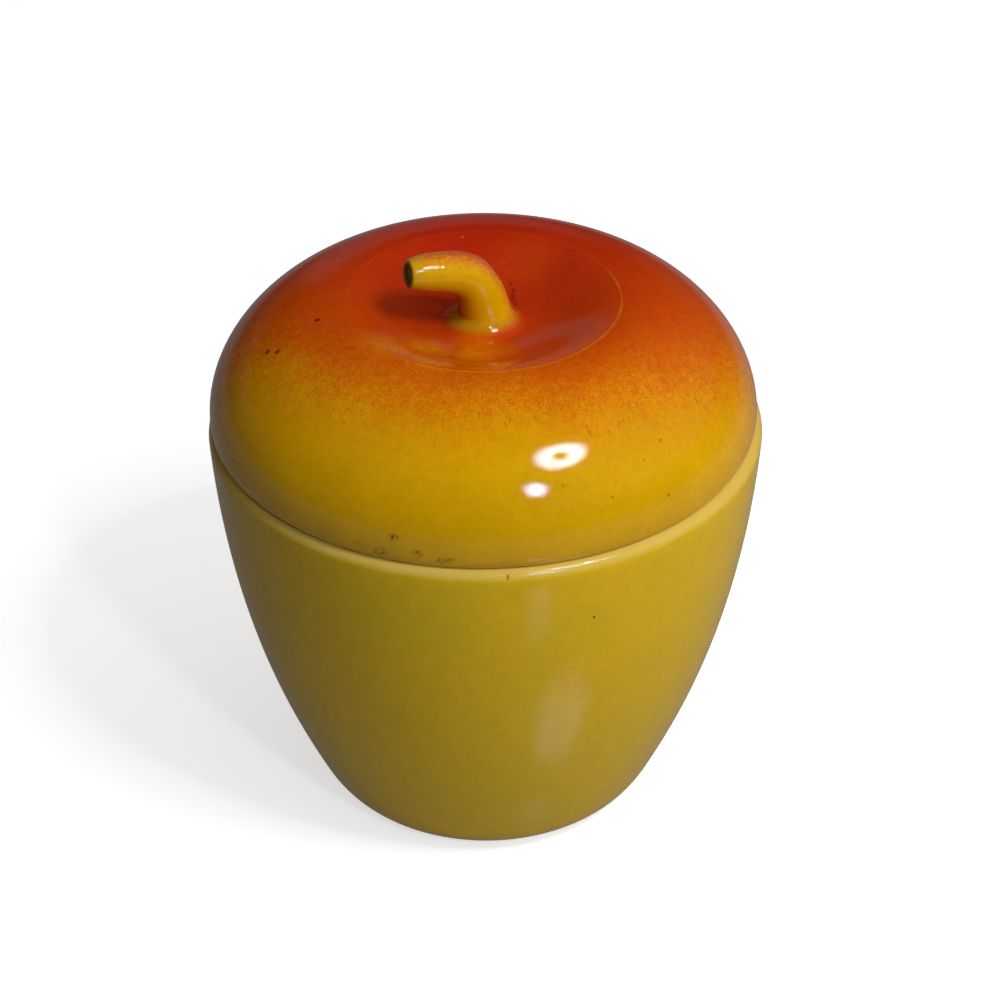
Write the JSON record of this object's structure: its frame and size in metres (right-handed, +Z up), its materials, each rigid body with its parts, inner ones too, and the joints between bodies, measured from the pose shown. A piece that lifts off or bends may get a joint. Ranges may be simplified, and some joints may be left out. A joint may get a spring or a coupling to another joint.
{
  "type": "jam pot",
  "caption": "Covered jam pot shaped like an apple: tapering bowl, lift-off domed lid with a dimple and a curved stalk for a knob.",
  "frame": {"origin": "middle of the pot's foot, on the surface that it stands on", "axes": "+Z up along the pot's axis; -X is the side that the stalk bends towards; -Y is the front"},
  "size_m": [0.096, 0.096, 0.1072],
  "materials": {
    "pot_glaze": "satin",
    "lid_glaze": "gloss",
    "stalk_glaze": "gloss"
  },
  "bodies": {
    "pot": {"pot": "pot_glaze"},
    "lid": {"lid": "lid_glaze", "stem": "stalk_glaze"}
  },
  "joints": [
    {"name": "lid_lift", "type": "slide", "parent": "pot", "child": "lid", "axis": [0, 0, 1], "range_m": [0, 0.07]}
  ]
}
